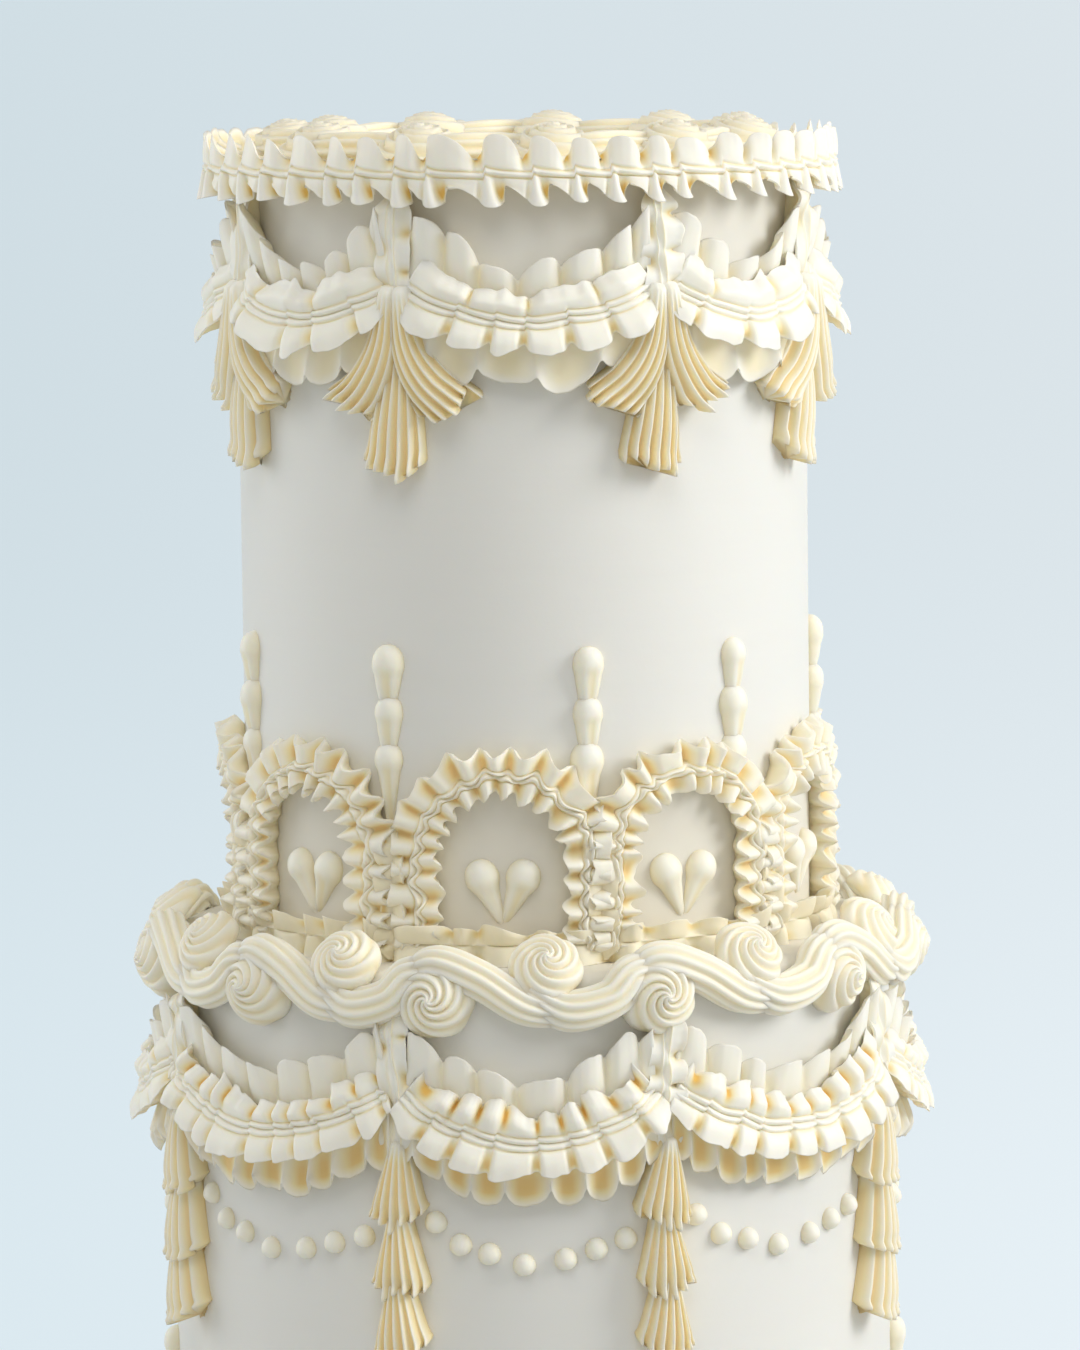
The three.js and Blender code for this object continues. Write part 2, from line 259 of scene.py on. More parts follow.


# Cream on the faces, pale yellow painted shade into the folds and amber painted shade in their depths.
def pipingColour(start, look):
    fold = start.node("ShaderNodeAttribute", {"attribute_name": "fold"}, None, 2)
    shallow = blend(start, fold * 2, look["colour"], look["fold"])
    return blend(start, fold * 2 - 1, shallow, look["depth"])


def pipingHeight(start, look):
    return noise(start, (1, 1, 1), 900, 2) * look["grain"]


# The smoothed wall keeps faint bands from the scraper that went round it, and is painted with warm
# shade in bands of height where the cream piping hems it in.
def icingColour(start, look):
    bands = noise(start, (1, 1, 7), 14, 3)
    plain = blend(start, bands * 0.6, look["colour"], look["shade"])
    height = start.node("ShaderNodeSeparateXYZ", None, {0: objectPlace(start, (1, 1, 1))}, 2)
    warmShadeShare = 0
    for low, full, late, high in look["warmShadeBands"]:
        warmShadeShare = shareOf(start, height, low, full) * shareOf(start, height, high, late) + warmShadeShare
    return blend(start, warmShadeShare, plain, look["warmShade"])


def icingHeight(start, look):
    return noise(start, (1, 1, 6), 22, 2) * 0.5 + noise(start, (1, 1, 1), 500, 3) * look["grain"]


icing = newMaterial("smoothed icing", icingLook, icingColour, icingHeight)
piping = newMaterial("piped icing", pipingLook, pipingColour, pipingHeight)
print("icing mixed")


def pipe(name, strokes, node=None):
    finishPiece(name, strokes, piping, "piping", node or name.replace(" ", "_"))


tierLook = {
    "edge": 4.5,
    "edgeSteps": 5,
    "sides": 192,
    "lowRings": (1, 9),
    "highRings": (5.5, 12),
    "insets": (1, 9),
    "gap": 0.3,
}


# Selects the edges or faces that pass a test, in edit mode.
def selectWhere(made, kind, test):
    bpy.ops.object.mode_set(mode="EDIT")
    bpy.ops.mesh.select_mode(type=kind)
    bpy.ops.mesh.select_all(action="DESELECT")
    bpy.ops.object.mode_set(mode="OBJECT")
    for part in made.data.edges if kind == "EDGE" else made.data.polygons:
        part.select = bool(test(part))
    bpy.ops.object.mode_set(mode="EDIT")


def tierWall(radius, bottom, top):
    deselect()
    depth = (top - bottom) * mm
    bpy.ops.mesh.primitive_cylinder_add(
        vertices=tierLook["sides"],
        radius=radius * mm,
        depth=depth,
        location=(0, 0, bottom * mm + depth / 2),
    )
    made = bpy.context.object
    bpy.ops.object.transform_apply(location=True, rotation=False, scale=False)
    highest = top * mm - 0.0001
    corners = made.data.vertices
    selectWhere(made, "EDGE", lambda edge: all(corners[v].co.z > highest for v in edge.vertices))
    bpy.ops.mesh.bevel(offset=tierLook["edge"] * mm, segments=tierLook["edgeSteps"], affect="EDGES")
    # Rings of edges along the wall and over the flat ends keep the smooth shading even.
    rings = [bottom + up for up in tierLook["lowRings"]] + [top - down for down in tierLook["highRings"]]
    for height in rings:
        bpy.ops.mesh.select_all(action="SELECT")
        bpy.ops.mesh.bisect(plane_co=(0, 0, height * mm), plane_no=(0, 0, 1))
    bpy.ops.object.mode_set(mode="OBJECT")
    selectWhere(made, "FACE", lambda face: len(face.vertices) > 8)
    for inset in tierLook["insets"]:
        bpy.ops.mesh.inset(thickness=inset * mm)
    bpy.ops.mesh.poke()
    bpy.ops.object.mode_set(mode="OBJECT")
    made.data.attributes.new("fold", "FLOAT", "POINT")
    return made


for level, radius, floor in tiers:
    top = cake["top"] if level == "upper" else cake["ledge"] - tierLook["gap"]
    finishPiece(f"{level} wall", [tierWall(radius, floor, top)], icing, "icing", f"{level}_tier")
print("walls smoothed")


# One pleat's shape: (place in the pleat, value) pairs, joined softly and repeated.
def pleatLine(phase, pairs):
    places, values = zip(*pairs)
    near = (-0.03, -0.01, 0.01, 0.03)
    return sum(np.interp(np.mod(phase + d, 1), places, values, period=1) for d in near) / len(near)


# How a lip stands out (fold), runs ahead (lead) and reaches (lip) over one pleat.
pleatShapes = {
    "wave": {
        "fold": (
            (0, -1), (0.12, -0.72), (0.25, 0), (0.38, 0.72), (0.5, 1), (0.62, 0.72), (0.75, 0),
            (0.88, -0.72),
        ),
        "lead": ((0, 0), (0.25, -0.04), (0.5, 0), (0.75, 0.04)),
        "lip": (
            (0, 0.9), (0.12, 0.93), (0.25, 1), (0.38, 1.05), (0.5, 1.07), (0.62, 1.05), (0.75, 1),
            (0.88, 0.93),
        ),
    },
    "ruff": {
        "fold": (
            (0, -1), (0.1, -0.8), (0.22, 0.1), (0.35, 0.8), (0.5, 1), (0.65, 0.8), (0.8, 0),
            (0.91, -0.85),
        ),
        "lead": ((0, 0), (0.18, -0.03), (0.5, 0), (0.82, 0.03)),
        "lip": (
            (0, 1.06), (0.07, 1.04), (0.14, 0.96), (0.24, 0.82), (0.36, 0.74), (0.5, 0.71),
            (0.66, 0.74), (0.78, 0.82), (0.87, 0.96), (0.94, 1.04),
        ),
    },
    "tooth": {
        "fold": ((0, -0.4), (0.1, 0.1), (0.25, 0.75), (0.45, 1), (0.65, 0.5), (0.78, -0.6), (0.88, -1)),
        "lead": ((0, 0.06), (0.15, 0.05), (0.4, 0.02), (0.75, -0.02), (0.9, 0.02)),
        "lip": (
            (0, 1.05), (0.08, 1.07), (0.18, 1.02), (0.4, 0.88), (0.6, 0.76), (0.76, 0.7), (0.86, 0.8),
            (0.93, 0.97),
        ),
    },
    "puff": {
        "fold": (
            (0, -1), (0.07, -0.7), (0.16, 0.2), (0.3, 0.85), (0.5, 1), (0.7, 0.85), (0.84, 0.2),
            (0.93, -0.7),
        ),
        "lead": ((0, 0), (0.14, -0.04), (0.5, 0), (0.86, 0.04)),
        "lip": (
            (0, 0.84), (0.06, 0.87), (0.14, 0.95), (0.28, 1.02), (0.5, 1.05), (0.72, 1.02),
            (0.86, 0.95), (0.94, 0.87),
        ),
    },
    "loop": {
        "fold": (
            (0, 1), (0.1, 0.55), (0.22, -0.4), (0.36, -0.95), (0.5, -1), (0.64, -0.95), (0.78, -0.4),
            (0.9, 0.55),
        ),
        "lead": ((0, 0), (0.12, -0.04), (0.5, 0), (0.88, 0.04)),
        "lip": (
            (0, 0.8), (0.06, 0.84), (0.14, 0.95), (0.28, 1.03), (0.5, 1.06), (0.72, 1.03), (0.86, 0.95),
            (0.94, 0.84),
        ),
    },
    "roll": {
        "fold": (
            (0, -1), (0.03, -0.6), (0.07, 0.4), (0.15, 0.85), (0.38, 1), (0.68, 0.8), (0.88, 0.9),
            (0.95, 0.2),
        ),
        "lead": ((0, 0.03), (0.07, -0.04), (0.3, 0), (0.85, 0.02), (0.95, 0.04)),
        "lip": (
            (0, 0.8), (0.04, 0.83), (0.1, 0.92), (0.18, 1), (0.27, 1.03), (0.4, 0.98), (0.55, 1.03),
            (0.7, 0.96), (0.85, 1), (0.94, 0.9),
        ),
    },
    "box": {
        "fold": (
            (0, -1), (0.08, -0.95), (0.12, 0), (0.16, 0.85), (0.25, 1), (0.55, 0.9), (0.82, 0.55),
            (0.88, -0.3), (0.93, -0.9),
        ),
        "lead": ((0, 0.02), (0.08, 0), (0.15, -0.05), (0.25, 0), (0.82, 0.02), (0.93, 0.03)),
        "lip": (
            (0, 0.7), (0.08, 0.73), (0.13, 0.83), (0.19, 0.95), (0.27, 1.02), (0.38, 1.03),
            (0.55, 0.99), (0.72, 0.95), (0.83, 0.88), (0.91, 0.76),
        ),
    },
    "scale": {
        "fold": (
            (0, -0.1), (0.04, 0.2), (0.14, 0.55), (0.3, 0.85), (0.48, 1), (0.62, 0.8), (0.73, 0.2),
            (0.79, -0.6), (0.84, -1), (0.96, -1),
        ),
        "lead": (
            (0, 0), (0.05, -0.04), (0.12, -0.05), (0.3, -0.02), (0.6, 0.02), (0.75, 0.05), (0.83, 0.02),
            (0.9, 0),
        ),
        "lip": (
            (0, 0.64), (0.035, 0.77), (0.08, 0.88), (0.15, 0.96), (0.26, 1), (0.4, 0.98), (0.52, 0.9),
            (0.62, 0.74), (0.7, 0.5), (0.77, 0.3), (0.82, 0.36), (0.88, 0.48), (0.96, 0.54),
        ),
    },
    "hook": {
        "fold": (
            (0, 0.2), (0.04, 0.75), (0.11, 1), (0.17, 0.9), (0.2, 0), (0.23, -1), (0.4, -1),
            (0.45, -0.1), (0.6, 0.3), (0.8, 0.5), (0.9, 0.5), (0.96, -0.3),
        ),
        "lead": (
            (0, -0.04), (0.05, -0.03), (0.1, 0.06), (0.16, 0.19), (0.22, 0.23), (0.3, 0.16),
            (0.4, 0.04), (0.5, -0.02), (0.7, 0),
        ),
        "lip": (
            (0, 0.8), (0.05, 0.92), (0.1, 0.99), (0.16, 0.97), (0.22, 0.88), (0.32, 0.78), (0.4, 0.58),
            (0.44, 0.34), (0.5, 0.34), (0.7, 0.5), (0.92, 0.72),
        ),
    },
}


# How far across a wing each of its rows lies, from the lip to the vein.
wingRows = np.array([1, 0.97, 0.91, 0.82, 0.72, 0.61, 0.5, 0.4, 0.31, 0.25, 0.21, 0.17, 0.13, 0.09, 0.045])

# What every frill has unless its own look says otherwise; pairs are for the upper and lower wing.
frillLook = {
    "pitch": 10,  # from pleat to pleat
    "perPleat": 16,
    "shapes": ("wave", "wave"),
    "times": (1, 1),  # a wing may have more pleats
    "offset": (0, 0),  # how far the pleats run ahead
    "width": (8, 8),
    "swing": (3, 3),  # how far the lips fold in and out
    "lead": 1.0,  # how far the folds overlap
    "bend": (0.9, 0.9),  # and how much more so at the lips
    "lip": (1.0, 1.0),  # how strongly the lips' edges rise and fall
    "slant": (0, 0),  # how unlike the pleats are
    "rough": 0.12,
    "lumps": 0.3,
    "flare": (1, 1),
    "curl": (0, 0),  # lips rolled back to the wall
    "opens": 0.8,
    "vein": 8,
    "cords": (-0.85, 0.85),
    "cord": 0.62,
    "ridge": 0.7,
    "waver": 0.3,
    "step": 0.0,
    "sway": 0.0,  # how far the vein gives way to the folds
    "thick": 1.4,
    "fill": (0.12, 0.42),  # where the back leaves the wall
    "sink": 0.6,
    "pace": 0.18,
    "vary": (0.2, 0.2),
    "ends": 0.5,
    "endWidth": (0.4, 0.4),
    "endReach": 0.6,
    "foldShade": 0.8,  # how strongly the folds are painted with warm shade
    "deep": 2.0,  # and how far that painted shade keeps to their depths
    "shade": (0.1, 0.7),  # the part of a wing that takes painted shade
    "pale": (0.8, 1.0),  # and its rim, where the painted shade fades
    "paler": 0.8,
    "furrow": 0.9,  # how deep the grooves beside the cords are
    # Painted shade in the grooves beside the cords.
    "furrowShade": 0.6,
    "settle": (0.1, 0.5),  # where the vein's wandering dies out in a wing
    # Painted shade on the backs of the wings, fading towards their rims.
    "backShade": (0.34, 0.04),
    "backPale": (0.72, 1.0),
    "warmShade": 0.0,  # how much painted warm shade all of it takes
}


# A frill along a curve: two pleated wings either side of a raised vein. The place function turns
# distances along, across and out into points.
def frill(place, length, own, seed, closed=False):
    look = {**frillLook, **own}
    pleats = max(2, round(length / look["pitch"]))
    period = pleats if closed else None
    q = np.linspace(0, pleats, pleats * look["perPleat"] + 1)[:, None]
    pitch = length / pleats
    phase = q + look["pace"] * uneven(q, seed, period)
    half = len(wingRows)
    t = np.concatenate([wingRows, [0], wingRows[::-1]])[None, :]
    wing = np.concatenate([np.zeros(half + 1), np.ones(half)]).astype(int)
    sign = np.where(wing == 0, 1.0, -1.0)[None, :]

    def each(key):
        return np.broadcast_to(look[key], 2)[wing][None, :]

    def line(kind):
        both = [
            pleatLine(phase * times + offset, pleatShapes[shape][kind]) / (times if kind == "lead" else 1)
            for shape, times, offset in zip(look["shapes"], look["times"], look["offset"])
        ]
        return np.concatenate(both, axis=1)[:, wing]

    grow = t ** look["opens"]
    ends = np.ones_like(q) if closed else smooth(np.minimum(q, pleats - q), -0.001, look["ends"])
    narrow = mix(each("endWidth"), 1.0, ends)
    taste = 1 + each("vary") * uneven(q + 0.5, seed + 3, period)
    wide = each("width") * narrow * (1 + each("vary") * 0.4 * uneven(q, seed + 7, period))
    fold = line("fold")
    lip = 1 + (line("lip") - 1) * each("lip")
    lip = lip + each("slant") * uneven(np.floor(phase), seed + 13, period) * np.sin(2 * math.pi * phase)
    ragged = look["rough"] * uneven(q * 6, seed + 17, period and period * 6) * t**2
    across = sign * (wide * t * mix(1, lip, grow) + ragged)
    wander = uneven(q * 1.3, seed + 29, period) if not closed else 0
    calm = 1 - smooth(t, *look["settle"])
    across = across + look["waver"] * wander * calm
    drop = np.exp(-4 * np.mod(phase - 0.06, 1)) - 0.3
    across = across + look["step"] * drop * (1 - smooth(t, 0.15, 0.6))
    across = across - look["sway"] * fold[:, :1] * calm
    roll = 1 - each("curl") * smooth(t, 0.5, 1.0)
    body = look["vein"] * mix(look["endReach"], 1, ends) + each("flare") * np.sin(t * math.pi / 2)
    out = (body + each("swing") * taste * narrow * fold * grow) * roll
    for k in range(4):
        near = np.clip(1 - np.abs(t * 3 - k), 0, 1)
        out = out + look["lumps"] * near * t * uneven(q * 3, seed + 41 + k, period and period * 3)
    fromCord = np.min([np.abs(sign * wide * t - c) for c in look["cords"]], axis=0) / look["cord"]
    groove = np.exp(-(((fromCord - 1.7) / 0.45) ** 2))
    out = out + look["ridge"] * (np.exp(-(fromCord**2)) - look["furrow"] * groove)
    along = q * pitch + pitch * look["lead"] * line("lead") * t ** each("bend")
    front = place(along, across, np.maximum(out, 0.5))

    # The back lies a lip's thickness behind the front, and right back to the wall under the vein.
    du = np.gradient(front, axis=0)
    if closed:
        du[0] = du[-1] = front[1] - front[-2]
    dv = np.gradient(front, axis=1)
    normal = np.cross(du, dv)
    normal /= np.maximum(np.linalg.norm(normal, axis=-1, keepdims=True), 1e-9)
    outward = place(along, across, out + 1) - place(along, across, out)
    if (normal * outward).sum() < 0:
        normal = -normal
    thick = look["thick"] * np.sqrt(np.clip(1 - t**6, 0, 1)) * np.ones_like(q)
    back = front - normal * thick[..., None]
    wallward = place(along, across, np.zeros_like(out) - look["sink"])
    back = mix(back, wallward, (1 - smooth(t, *look["fill"]))[..., None])
    back = back[:, -3::-2]
    # Painted shade: warm colour in the valleys of the folds, in the grooves beside the cords and over the
    # backs, paler at the rims.
    valleyShade = (0.5 - 0.5 * fold) ** look["deep"] * smooth(t, *look["shade"]) * each("foldShade")
    valleyShade = np.maximum(valleyShade * (1 - look["paler"] * smooth(t, *look["pale"])), look["warmShade"])
    furrow = groove * min(1, abs(look["ridge"])) * look["furrowShade"]
    frontPaintedShade = np.maximum(valleyShade, furrow) * np.ones_like(q)
    backPaintedShade = mix(*look["backShade"], smooth(t, *look["backPale"])) * np.ones_like(q)
    points = np.concatenate([front, back], axis=1)
    depth = np.concatenate([frontPaintedShade, backPaintedShade[:, -3::-2]], axis=1)
    points[:, -1] = points[:, 0]
    if closed:
        points[-1] = points[0]
    else:
        for end in (0, -1):
            points[end] = points[end].mean(axis=0)
    return stroke(points, depth)


# A curve's points and its directions, from close samples of its distance along and height.
def curveOf(s, z):
    run = np.concatenate([[0], np.cumsum(np.hypot(np.diff(s), np.diff(z)))])
    ts, tz = np.gradient(s, run), np.gradient(z, run)
    length = run[-1]

    def at(u, across):
        inside = np.clip(u, 0, length)
        past = u - inside
        cs, cz = np.interp(inside, run, s), np.interp(inside, run, z)
        ds, dz = np.interp(inside, run, ts), np.interp(inside, run, tz)
        size = np.hypot(ds, dz)
        ds, dz = ds / size, dz / size
        return cs + past * ds - across * dz, cz + past * dz + across * ds

    return at, length


borderLook = {
    "pitch": 10.6,
    "perPleat": 28,
    "shapes": ("scale", "hook"),
    "width": (9.8, 8.6),
    "swing": (3.2, 2.5),
    "flare": (0.0, 0.6),
    "bend": (0.9, 2.0),
    "opens": 0.6,
    "vein": 8.4,
    "cords": (0.0,),
    "ridge": 0.8,
    "step": 1.5,
    "waver": 0.0,
    "thick": 1.3,
    "fill": (0.12, 0.5),
    "sink": 6,
    "pace": 0.26,
    "vary": (0.3, 0.3),
    "foldShade": 1.0,
    "leanBack": (0.36, 0.1),
}


def borderRing():
    radius, top = cake["upperRadius"], cake["top"]
    over, under = borderLook["leanBack"]

    # The upper wing leans back over the top, the lower one a little to the wall.
    def place(u, across, out):
        back = np.where(across > 0, over, -under) * across
        return onWall(radius, u, out - back, top + across)

    return frill(place, 2 * math.pi * radius, borderLook, 2, closed=True)


pipe("top border", [borderRing()])
print("border piped")


swagLook = {
    "clear": 2.4,
    "samples": 121,
    "fan": 0.12,  # how far the aprons' lobes spread square to the curve
    "upper": {"top": (390, 408), "vein": (375, 384), "bottom": (357, 368)},
    "lower": {"top": (171.5, 189), "vein": (155, 168), "bottom": (138.6, 148)},
    "front": {
        "pitch": 12.2,
        "perPleat": 24,
        "shapes": ("roll", "box"),
        "times": (0.55, 1),
        "offset": (0.3, 0.0),
        "width": (8.8, 9.0),
        "swing": (1.5, 2.0),
        "flare": (0.8, 2.6),
        "curl": (0.34, 0.06),
        "slant": (0.1, 0.06),
        "rough": 0.35,
        "opens": 0.7,
        "vein": 8.6,
        "waver": 0.5,
        "step": 0.7,
        "thick": 1.6,
        "fill": (0.3, 0.8),
        "pace": 0.36,
        "vary": (0.7, 0.3),
        "ends": 0.8,
        "endWidth": (1.0, 0.6),
        "foldShade": (0.8, 0.65),
        "deep": 1.6,
    },
    "apron": {
        "pitch": 13.6,
        "perPleat": 19,
        "shapes": ("puff", "loop"),
        "times": (1.3, 1.0),
        "offset": (0.0, 0.4),
        "width": (16, 16),
        "swing": (2.7, 1.3),
        "slant": (0.06, 0.05),
        "rough": 0.25,
        "flare": (2.4, 3.4),
        "vein": 2.2,
        "ridge": 0,
        "waver": 0,
        "thick": 1.0,
        "fill": (0.5, 0.98),
        "opens": 1.2,
        "pace": 0.16,
        "vary": (0.3, 0.3),
        "ends": 0.9,
        "endWidth": (0.9, 0.9),
        "endReach": 1.6,
        "foldShade": 0.3,
        "deep": 1.5,
    },
    "lowerPitch": 0.74,  # the lower swags' pleats against the upper ones'
    "lowerFront": {
        "shapes": ("puff", "box"),
        "times": (1.15, 1),
        "swing": (2.3, 2.0),
        "lip": (1.5, 0.45),
        "slant": (0.1, 0.04),
        "foldShade": (1.2, 0.75),
    },
    "lowerFringe": {"times": (0.92, 1.2), "slant": (0, 0.05), "foldShade": (0.2, 0.8), "swing": (2.2, 1.7)},
}


def swagCurve(radius, start, end, heights):
    clear, samples = swagLook["clear"], swagLook["samples"]
    s = np.linspace(arc(radius, start) + clear, arc(radius, end) - clear, samples)
    x = np.linspace(-1, 1, samples)
    return curveOf(s, mix(heights[0], heights[1], x**2))


def swagStrokes(radius, start, end, level, seed):
    heights = swagLook[level]
    at, length = swagCurve(radius, start, end, heights["vein"])

    def place(u, across, out):
        s, z = at(u, across)
        return onWall(radius, s, out, z)

    scale = swagLook["lowerPitch"] if level == "lower" else 1
    looks = [{**swagLook[key], "pitch": swagLook[key]["pitch"] * scale} for key in ("front", "apron")]
    if level == "lower":
        looks[0].update(swagLook["lowerFront"])
        looks[1].update(swagLook["lowerFringe"])
    front = frill(place, length, looks[0], seed)
    middle = [(a + b) / 2 for a, b in zip(heights["top"], heights["bottom"])]
    half = [(a - b) / 2 for a, b in zip(heights["top"], heights["bottom"])]
    under, underLength = swagCurve(radius, start, end, middle)

    def placeUnder(u, across, out):
        share = np.clip(u / underLength, 0, 1) * 2 - 1
        wide = mix(half[0], half[1], share**2) / swagLook["apron"]["width"][0]
        s, _ = under(u, across * wide * swagLook["fan"])
        _, z = under(u, 0)
        return onWall(radius, s, out, z + across * wide)

    apron = frill(placeUnder, underLength, looks[1], seed + 50)
    return [front, apron]


for level, radius, _ in tiers:
    pillars = cake[level + "Pillars"]
    for i, (start, end) in enumerate(pairsOf(pillars)):
        strokes = swagStrokes(radius, start, end, level, 11 * i + (5 if level == "lower" else 0))
        pipe(f"{level} swag {i + 1}", strokes)
print("swags hung")


# A smooth line through a few evenly spaced values.
def softLine(t, values):
    values = np.array(values, float)
    knots = np.linspace(0, 1, len(values))
    slopes = np.gradient(values, knots)
    i = np.clip(np.searchsorted(knots, t, side="right") - 1, 0, len(knots) - 2)
    gap = knots[i + 1] - knots[i]
    x = (t - knots[i]) / gap
    a, b = values[i], values[i + 1]
    ma, mb = slopes[i] * gap, slopes[i + 1] * gap
    return (
        (2 * x**3 - 3 * x**2 + 1) * a
        + (x**3 - 2 * x**2 + x) * ma
        + (-2 * x**3 + 3 * x**2) * b
        + (x**3 - x**2) * mb
    )


# What every fan has unless its own look says otherwise.
fanLook = {
    "ridges": 7,
    "perRidge": 7,
    "rows": 27,
    "groove": 2.4,  # how deep between the ridges
    "tips": 1.5,  # how far the ridges end past the grooves
    "round": 0.16,  # how much sooner the outer ridges end
    "slant": 0.0,  # how much sooner one side ends
    "hook": 1.8,  # how far the tips lift
    "ragged": 0.06,  # how unevenly they end
    "turned": 1.15,  # how far the outer ridges face the sides
    "foldShade": 0.64,
    "sink": 0.4,
}


# A stroke with sharp ridges along it, fanned by its half widths and rising by its reaches; its
# path's points are distance along the wall and height.
def ridgedFan(radius, path, halves, reaches, seed=0, **own):
    look = {**fanLook, **own}
    ridges = look["ridges"]
    t = np.linspace(0, 1, look["rows"])[:, None]
    fine = np.linspace(0, 1, 120)
    at, length = curveOf(*(softLine(fine, values) for values in zip(*path)))
    half, reach = softLine(t, halves), softLine(t, reaches)
    even = np.linspace(-1, 1, ridges * look["perRidge"] + 1)[None, :]
    a = np.sin(look["turned"] * even) / math.sin(look["turned"])
    wave = (even + 1) / 2 * ridges
    crest = 1 - np.sqrt(np.cos(math.pi * wave) ** 2 + 0.03)
    crest = np.clip(crest / 0.83, 0, 1)
    envelope = np.clip(1 - np.abs(a) ** 3, 0, 1) ** 0.6
    each = uneven(np.floor(wave), seed)
    tall = reach * (0.2 + 0.8 * envelope)
    groove = np.minimum(look["groove"], half * 2.0 / ridges)
    late = smooth(t, 0.55, 1.0)
    end = 1 - look["round"] * a**2 - look["slant"] * a + look["ragged"] * each
    u = t * length * mix(1, end, late) + look["tips"] * (crest**0.35 - 0.7) * smooth(t, 0.75, 1.0)
    out = tall - groove * (1 - crest) * smooth(t, 0.02, 0.34)
    out = out + look["hook"] * crest**0.5 * smooth(t, 0.82, 0.97)
    out = out * mix(0.3, 1, smooth(1 - t, 0, 0.05) ** 0.5) * mix(0.5, 1, smooth(t, 0, 0.06))
    fs, fz = at(u, -half * a)
    front = onWall(radius, fs, np.maximum(out, 0.2), fz)
    bs, bz = at(np.minimum(u, length * 0.98), -half * a * 0.94)
    back = onWall(radius, bs, 0 * a - look["sink"], bz)
    points = np.concatenate([front, back[:, ::-1], front[:, :1]], axis=1)
    for last in (0, -1):
        points[last] = points[last].mean(axis=0)
    # Painted shade in the grooves between the ridges, and over the back.
    frontPaintedShade = (1 - crest) ** 0.9 * look["foldShade"] * smooth(t, 0.02, 0.3)
    depth = np.concatenate([frontPaintedShade, 0 * a + 0.8 + 0 * t, frontPaintedShade[:, :1]], axis=1)
    return stroke(points, depth)


neckLook = {
    "pitch": 13,
    "perPleat": 24,
    "shapes": ("wave", "puff"),
    "width": (5.0, 4.6),
    "swing": (1.6, 1.8),
    "lead": 1.2,
    "slant": (0.14, 0.14),
    "flare": (-1.6, -1.6),
    "offset": (0.0, 0.4),
    "vein": 6.6,
    "cords": (0.4,),
    "cord": 0.6,
    "ridge": -0.5,
    "waver": 1.2,
    "thick": 1.6,
    "opens": 0.7,
    "pace": 0.5,
    "vary": (0.5, 0.5),
    "endReach": 0.7,
    "foldShade": 0.7,
    "deep": 1.4,
}


# The crumpled strip that comes down a pillar to its tassel.
def neckStroke(radius, s, top, bottom, seed):
    length = top - bottom

    def place(u, across, out):
        sway = 0.7 * np.sin(u / length * 5 + seed)
        return onWall(radius, s + sway - across, out, top - u)

    return frill(place, length, neckLook, seed)


tasselLook = {
    "top": 411,
    "neckFoot": 374,
    "middle": {
        "path": [(0, 376), (-0.4, 362), (-1.4, 348), (-2.8, 332)],
        "halves": (2.0, 4.8, 7.4, 8.8),
        "reaches": (4.5, 7.0, 8.2, 7.0),
        "round": 0.06,
    },
    "side": {
        "path": [(1.5, 386), (3.4, 369), (8.4, 358), (16.6, 350)],
        "halves": (2.4, 4.4, 6.8, 8.4),
        "reaches": (9, 10.5, 10.5, 8),
        "round": 0.08,
        "slant": 0.1,
    },
}


def mirrored(path):
    return [(-s, z) for s, z in path]


def shifted(path, s):
    return [(x + s, z) for x, z in path]


def fan(radius, s, shape, seed, flip=False):
    own = dict(shape)
    path = mirrored(own.pop("path")) if flip else own.pop("path")
    if flip and "slant" in own:
        own["slant"] = -own["slant"]
    return ridgedFan(radius, shifted(path, s), own.pop("halves"), own.pop("reaches"), seed, **own)


for i, angle in enumerate(cake["upperPillars"]):
    radius = cake["upperRadius"]
    s = arc(radius, angle)
    strokes = [
        fan(radius, s, tasselLook["side"], 9 * i, flip=True),
        fan(radius, s, tasselLook["side"], 9 * i + 2),
        fan(radius, s, tasselLook["middle"], 9 * i + 4),
        neckStroke(radius, s, tasselLook["top"], tasselLook["neckFoot"], 9 * i + 6),
    ]
    pipe(f"upper tassel {i + 1}", strokes)

shellLook = {
    "tops": (156, 137, 119.5),
    "length": 26,
    "halves": (2.2, 3.8, 5.6, 7.2, 8.0),
    "reaches": (6.5, 8.6, 9.6, 10.0, 8.8),
    "neckTop": 191,
    "neckFoot": 148,
}

for i, angle in enumerate(cake["lowerPillars"]):
    radius = cake["lowerRadius"]
    s = arc(radius, angle)
    strokes = [neckStroke(radius, s, shellLook["neckTop"], shellLook["neckFoot"], 3 * i + 1)]
    for k, top in enumerate(shellLook["tops"]):
        sway = 0.8 * math.sin(2.3 * k + i)
        path = [(s + sway, top), (s, top - shellLook["length"] / 2), (s - sway, top - shellLook["length"])]
        strokes.append(ridgedFan(radius, path, shellLook["halves"], shellLook["reaches"], 5 * i + k))
    pipe(f"lower tassel {i + 1}", strokes)
print("tassels piped")


archLook = {
    "vein": 22.3,
    "crown": 52,
    "foot": 2,
    "legSteps": 19,
    "crownSteps": 80,
    "frill": {
        "pitch": 6.5,
        "perPleat": 13,
        "shapes": ("ruff", "tooth"),
        "offset": (0.0, 0.4),
        "width": (8.2, 7.0),
        "swing": (2.7, 2.4),
        "slant": (0.05, 0.08),
        "rough": 0.25,
        "fill": (0.55, 0.95),
        "deep": 1.2,
        "flare": (0.2, 0.2),
        "vein": 5.6,
        "cords": (-0.7, 0.7),
        "cord": 0.5,
        "ridge": 0.9,
        "waver": 1.2,
        "sway": 0.65,
        "thick": 1.7,
        "pace": 0.3,
        "vary": (0.3, 0.3),
        "opens": 0.32,
        "shade": (0.06, 0.3),
        "pale": (0.6, 0.95),
        # The arch frills take a little painted warm shade all over.
        "warmShade": 0.08,
    },
}


